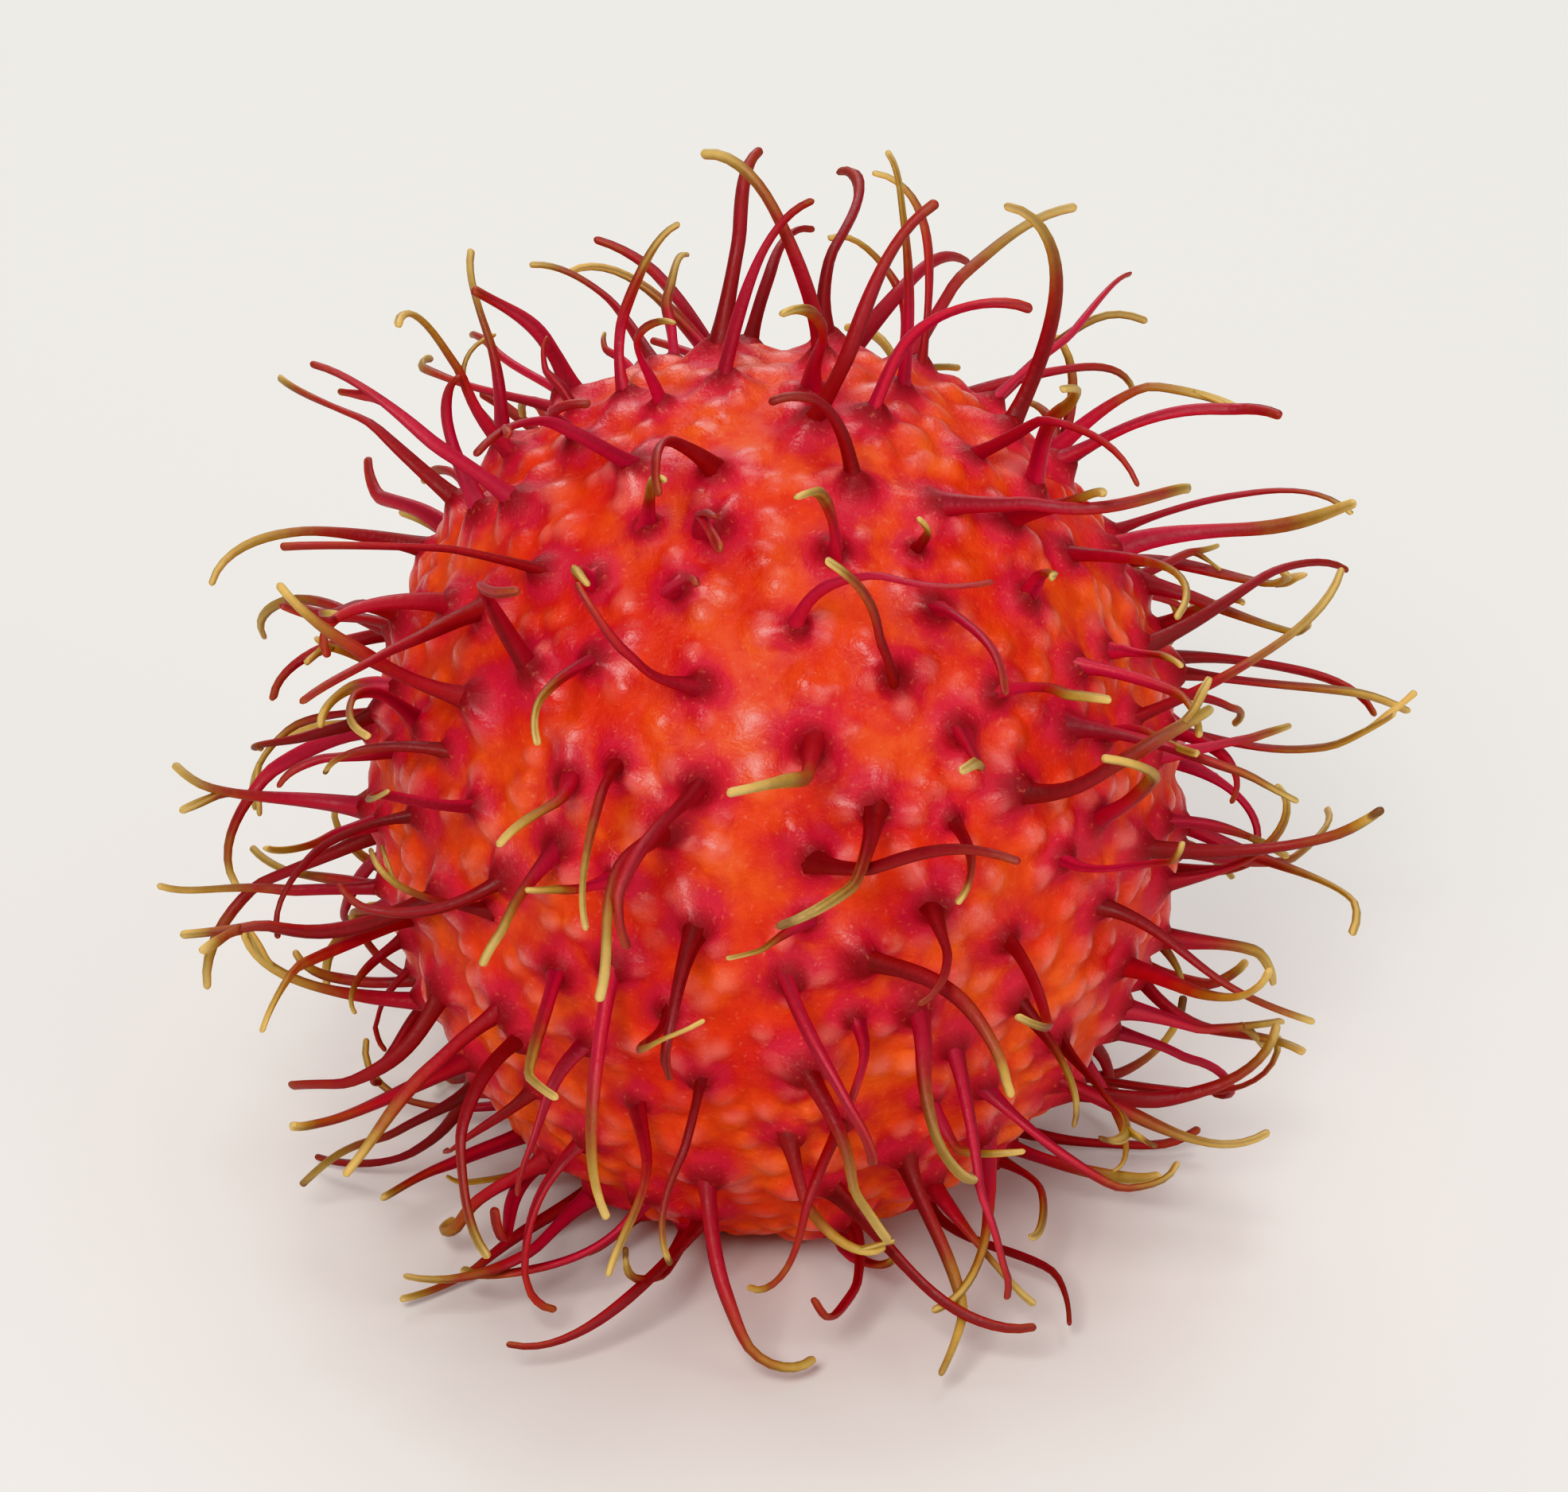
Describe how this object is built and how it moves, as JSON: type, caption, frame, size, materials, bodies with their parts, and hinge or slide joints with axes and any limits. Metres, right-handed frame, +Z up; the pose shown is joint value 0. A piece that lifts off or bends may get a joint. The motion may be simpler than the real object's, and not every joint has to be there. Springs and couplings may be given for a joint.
{
  "type": "rambutan",
  "caption": "Whole ripe rambutan: a round red leathery husk with a shallow suture and soft curved spines with yellow-green tips, resting on a small flat spot at its stem end.",
  "frame": {"origin": "centre of the small flat spot at the stem end, where the fruit rests, at the height of the surface it stands on", "axes": "+Z up along the fruit's long axis, from the stem end to the blossom end; -Y towards the side with the suture that the picture shows; +X to the right of that side"},
  "size_m": [0.0634, 0.0631, 0.0575],
  "materials": {
    "husk": "waxy, pebbled red skin with a soft gloss; spines crimson, turning yellow-green towards their tips"
  },
  "bodies": {
    "root": {"rambutan_fruit": "husk"}
  },
  "joints": []
}
